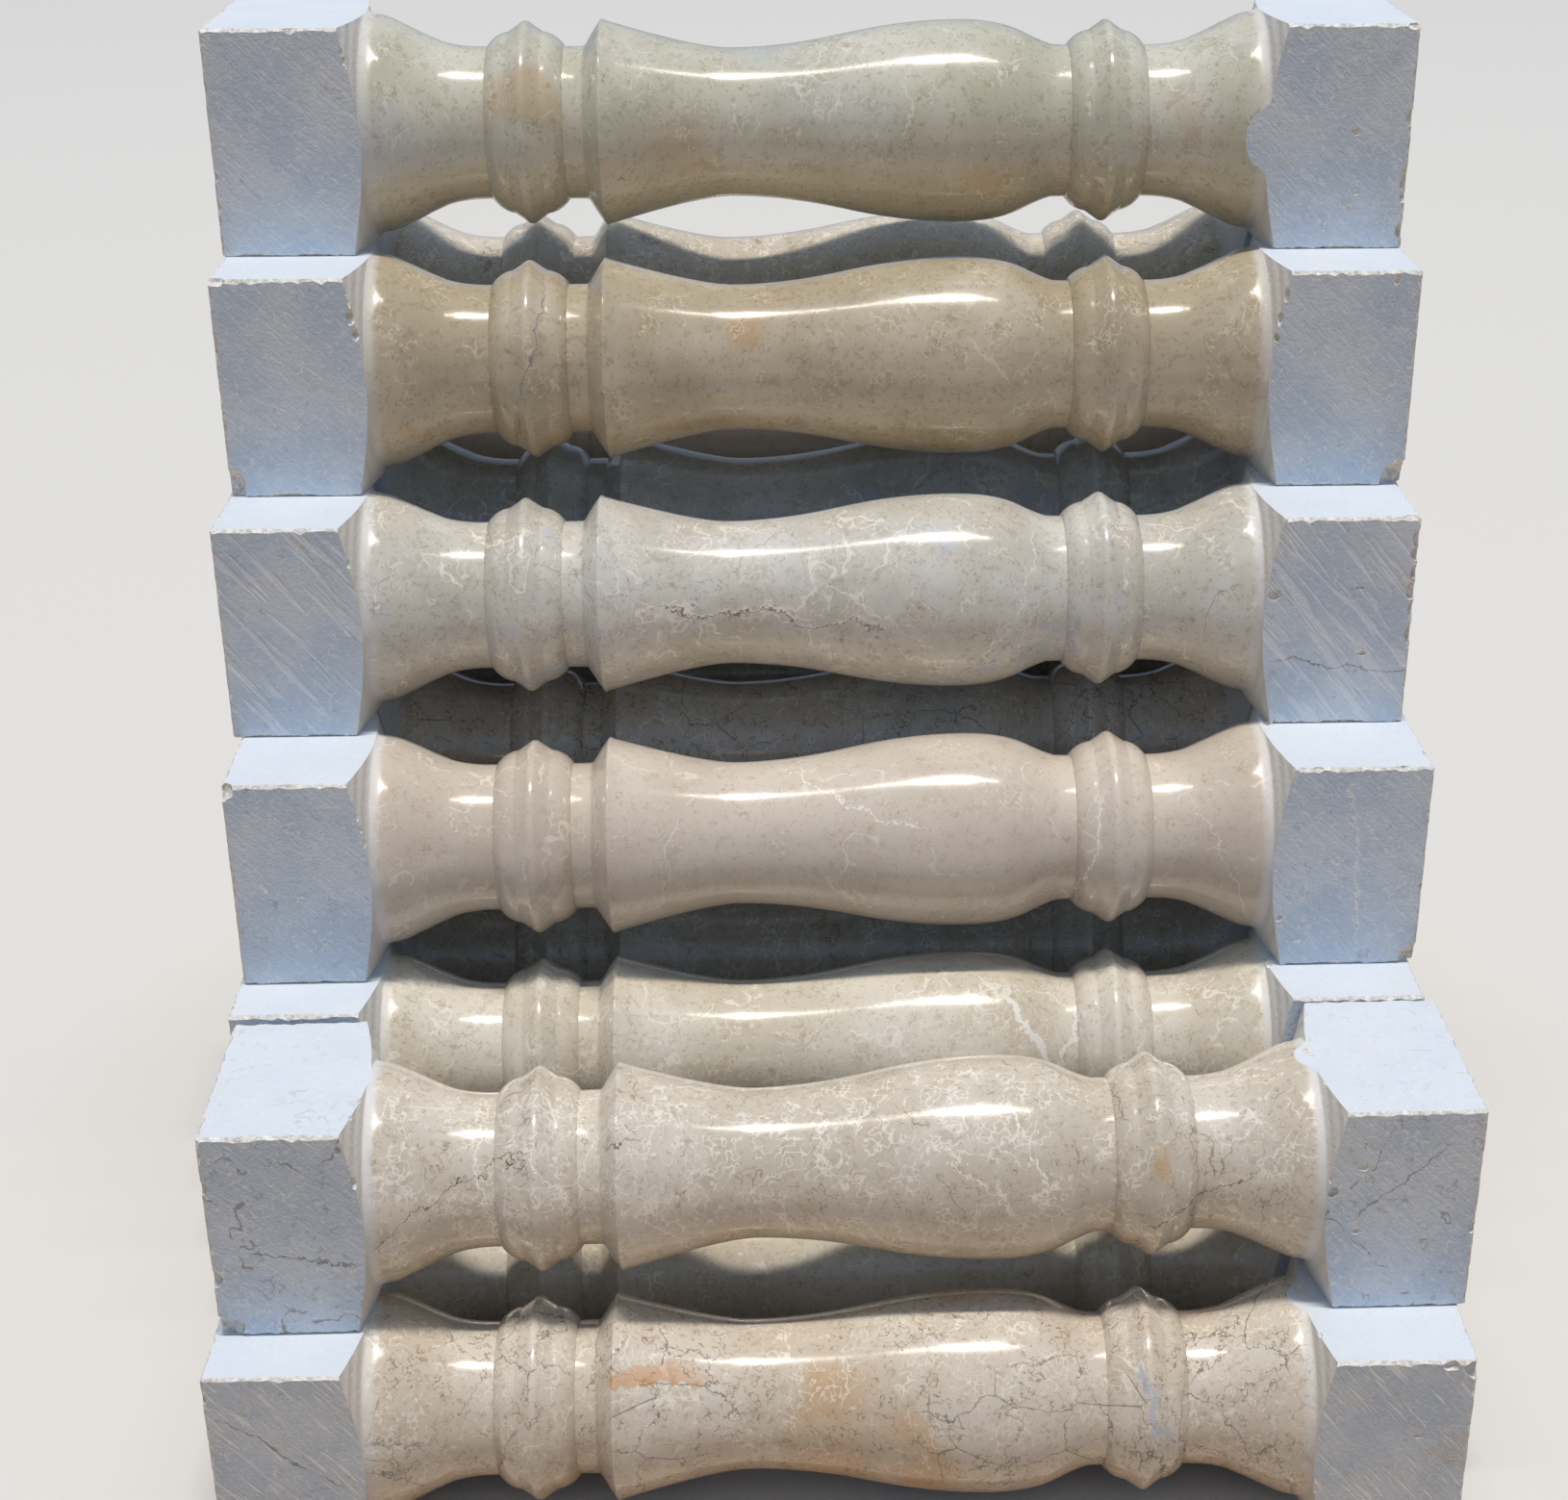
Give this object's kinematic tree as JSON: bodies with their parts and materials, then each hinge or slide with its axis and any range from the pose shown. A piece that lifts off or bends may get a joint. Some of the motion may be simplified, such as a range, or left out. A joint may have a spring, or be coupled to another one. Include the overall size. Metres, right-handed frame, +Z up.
{
  "type": "stack of stone balusters",
  "caption": "Dry stack of turned and polished cream stone balusters with square sawn ends, laid lengthwise in courses that step forward.",
  "frame": {"origin": "middle of the stack's footprint, on the ground", "axes": "+X along the balusters from their upper ends to their feet, +Y from the stepped front to the back, +Z up"},
  "size_m": [0.72, 0.9366, 0.78],
  "materials": {
    "cream_stone": "polished turned part, sawn and unpolished square ends"
  },
  "bodies": {
    "root": {"course_1_baluster_1": "cream_stone", "course_2_baluster_1": "cream_stone", "course_2_baluster_2": "cream_stone", "course_3_baluster_1": "cream_stone", "course_3_baluster_2": "cream_stone", "course_3_baluster_3": "cream_stone", "course_4_baluster_1": "cream_stone", "course_4_baluster_2": "cream_stone", "course_4_baluster_3": "cream_stone", "course_4_baluster_4": "cream_stone", "course_5_baluster_1": "cream_stone", "course_5_baluster_2": "cream_stone", "course_5_baluster_3": "cream_stone", "course_5_baluster_4": "cream_stone", "course_5_baluster_5": "cream_stone", "course_5_baluster_6": "cream_stone", "course_6_baluster_1": "cream_stone", "course_6_baluster_2": "cream_stone", "course_6_baluster_3": "cream_stone", "course_6_baluster_4": "cream_stone", "course_6_baluster_5": "cream_stone", "course_6_baluster_6": "cream_stone", "course_6_baluster_7": "cream_stone"}
  },
  "joints": []
}
